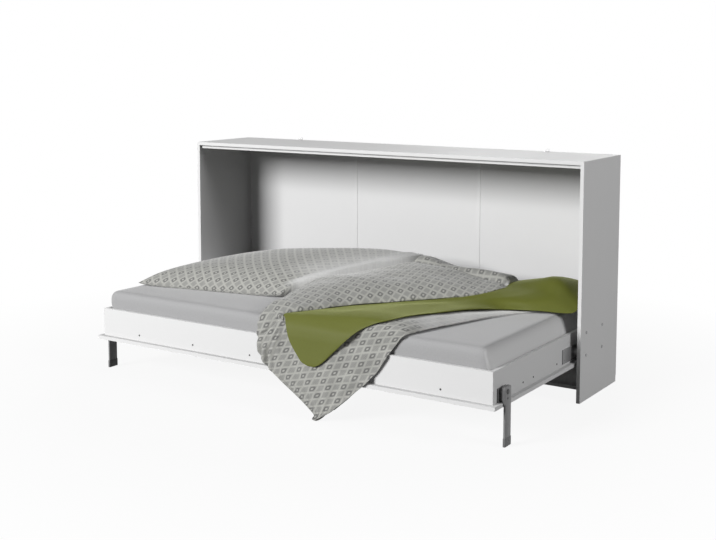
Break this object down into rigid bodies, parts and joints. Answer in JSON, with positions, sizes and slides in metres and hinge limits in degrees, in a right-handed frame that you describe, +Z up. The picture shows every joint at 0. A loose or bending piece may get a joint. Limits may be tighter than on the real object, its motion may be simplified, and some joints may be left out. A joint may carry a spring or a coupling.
{
  "type": "folding bed",
  "caption": "Horizontal wall bed: a white board cabinet whose door carries a slatted bed box with mattress and bedding, folding up on side pivots with gas springs and hinged legs.",
  "frame": {"origin": "on the floor under the middle of the open bed's overall box", "axes": "+X along the bed towards the foot end, +Y towards the wall, +Z up"},
  "size_m": [2.14, 1.2422, 1.052],
  "materials": {
    "white_board": "white melamine facing",
    "white_hardboard": "white lacquered hardboard",
    "white_plastic": "satin",
    "bare_wood": "planed",
    "white_steel": "satin",
    "dark_steel": "satin powder coat",
    "bright_steel": "zinc plated",
    "dark_plastic": "satin",
    "mattress_sheet": "grey jersey sheet",
    "printed_cotton": "grey lozenge print",
    "green_cotton": "olive green sateen"
  },
  "bodies": {
    "cabinet": {"left_side_panel": "white_board", "right_side_panel": "white_board", "top_panel": "white_board", "top_stop_board": "white_board", "bottom_board": "white_board", "back_panel_left": "white_hardboard", "back_panel_middle": "white_hardboard", "back_panel_right": "white_hardboard", "back_joint_strips": "white_plastic", "wall_brackets": "white_steel", "wall_bracket_screws": "bright_steel", "carcass_dowels": "bare_wood", "left_hinge_plate": "dark_steel", "right_hinge_plate": "dark_steel", "hinge_bolts": "bright_steel", "left_pivot_pin": "bright_steel", "right_pivot_pin": "bright_steel", "left_spring_stud": "bright_steel", "right_spring_stud": "bright_steel"},
    "left_leg": {"left_leg": "dark_steel", "left_leg_foot": "dark_plastic"},
    "left_spring_tube": {"left_gas_tube": "dark_steel"},
    "left_spring_rod": {"left_gas_rod": "bright_steel"},
    "right_leg": {"right_leg": "dark_steel", "right_leg_foot": "dark_plastic"},
    "right_spring_tube": {"right_gas_tube": "dark_steel"},
    "right_spring_rod": {"right_gas_rod": "bright_steel"},
    "bed": {"bed_front_board": "white_board", "bed_left_board": "white_board", "bed_plate_screws": "bright_steel", "bed_rear_board": "white_board", "bed_right_board": "white_board", "bed_slats": "bare_wood", "door_panel": "white_board", "duvet_drape": "printed_cotton", "duvet_lower": "printed_cotton", "duvet_upper": "printed_cotton", "front_ledger": "bare_wood", "ledger_screws": "bright_steel", "left_bed_plate": "dark_steel", "left_ledger": "bare_wood", "left_leg_bracket": "dark_steel", "left_leg_pin": "bright_steel", "left_pivot_bush": "dark_plastic", "left_pivot_hub": "dark_steel", "leg_bracket_screws": "bright_steel", "mattress": "mattress_sheet", "pillow": "printed_cotton", "rear_ledger": "bare_wood", "right_bed_plate": "dark_steel", "right_ledger": "bare_wood", "right_leg_bracket": "dark_steel", "right_leg_pin": "bright_steel", "right_pivot_bush": "dark_plastic", "right_pivot_hub": "dark_steel", "throw": "green_cotton", "throw_drape": "green_cotton"}
  },
  "joints": [
    {"name": "bed_fold", "type": "hinge", "parent": "cabinet", "child": "bed", "pos_m": [0, 0.253, 0.212], "axis": [-1, 0, 0], "range_deg": [0, 90], "deforming": ["duvet_drape", "throw_drape"]},
    {"name": "left_leg_swing", "type": "hinge", "parent": "bed", "child": "left_leg", "pos_m": [-1.0445, -0.462, 0.213], "axis": [-1, 0, 0], "range_deg": [-90, 0]},
    {"name": "left_spring_swing", "type": "hinge", "parent": "cabinet", "child": "left_spring_tube", "pos_m": [-1.03575, 0.437, 0.36], "axis": [-1, 0, 0], "range_deg": [0, 7.14]},
    {"name": "left_spring_stroke", "type": "slide", "parent": "left_spring_tube", "child": "left_spring_rod", "axis": [0, -0.5905, -0.807], "range_m": [0, 0.08824]},
    {"name": "right_leg_swing", "type": "hinge", "parent": "bed", "child": "right_leg", "pos_m": [1.0445, -0.462, 0.213], "axis": [-1, 0, 0], "range_deg": [-90, 0]},
    {"name": "right_spring_swing", "type": "hinge", "parent": "cabinet", "child": "right_spring_tube", "pos_m": [1.03575, 0.437, 0.36], "axis": [-1, 0, 0], "range_deg": [0, 7.14]},
    {"name": "right_spring_stroke", "type": "slide", "parent": "right_spring_tube", "child": "right_spring_rod", "axis": [0, -0.5905, -0.807], "range_m": [0, 0.08824]}
  ],
  "couplings": [
    {"joint": "left_leg_swing", "follows": "bed_fold", "ratio": -1},
    {"joint": "left_spring_swing", "follows": "bed_fold", "ratio": 0.079316},
    {"joint": "left_spring_stroke", "follows": "bed_fold", "m_per_rad": 0.056174},
    {"joint": "right_leg_swing", "follows": "bed_fold", "ratio": -1},
    {"joint": "right_spring_swing", "follows": "bed_fold", "ratio": 0.079316},
    {"joint": "right_spring_stroke", "follows": "bed_fold", "m_per_rad": 0.056174}
  ]
}
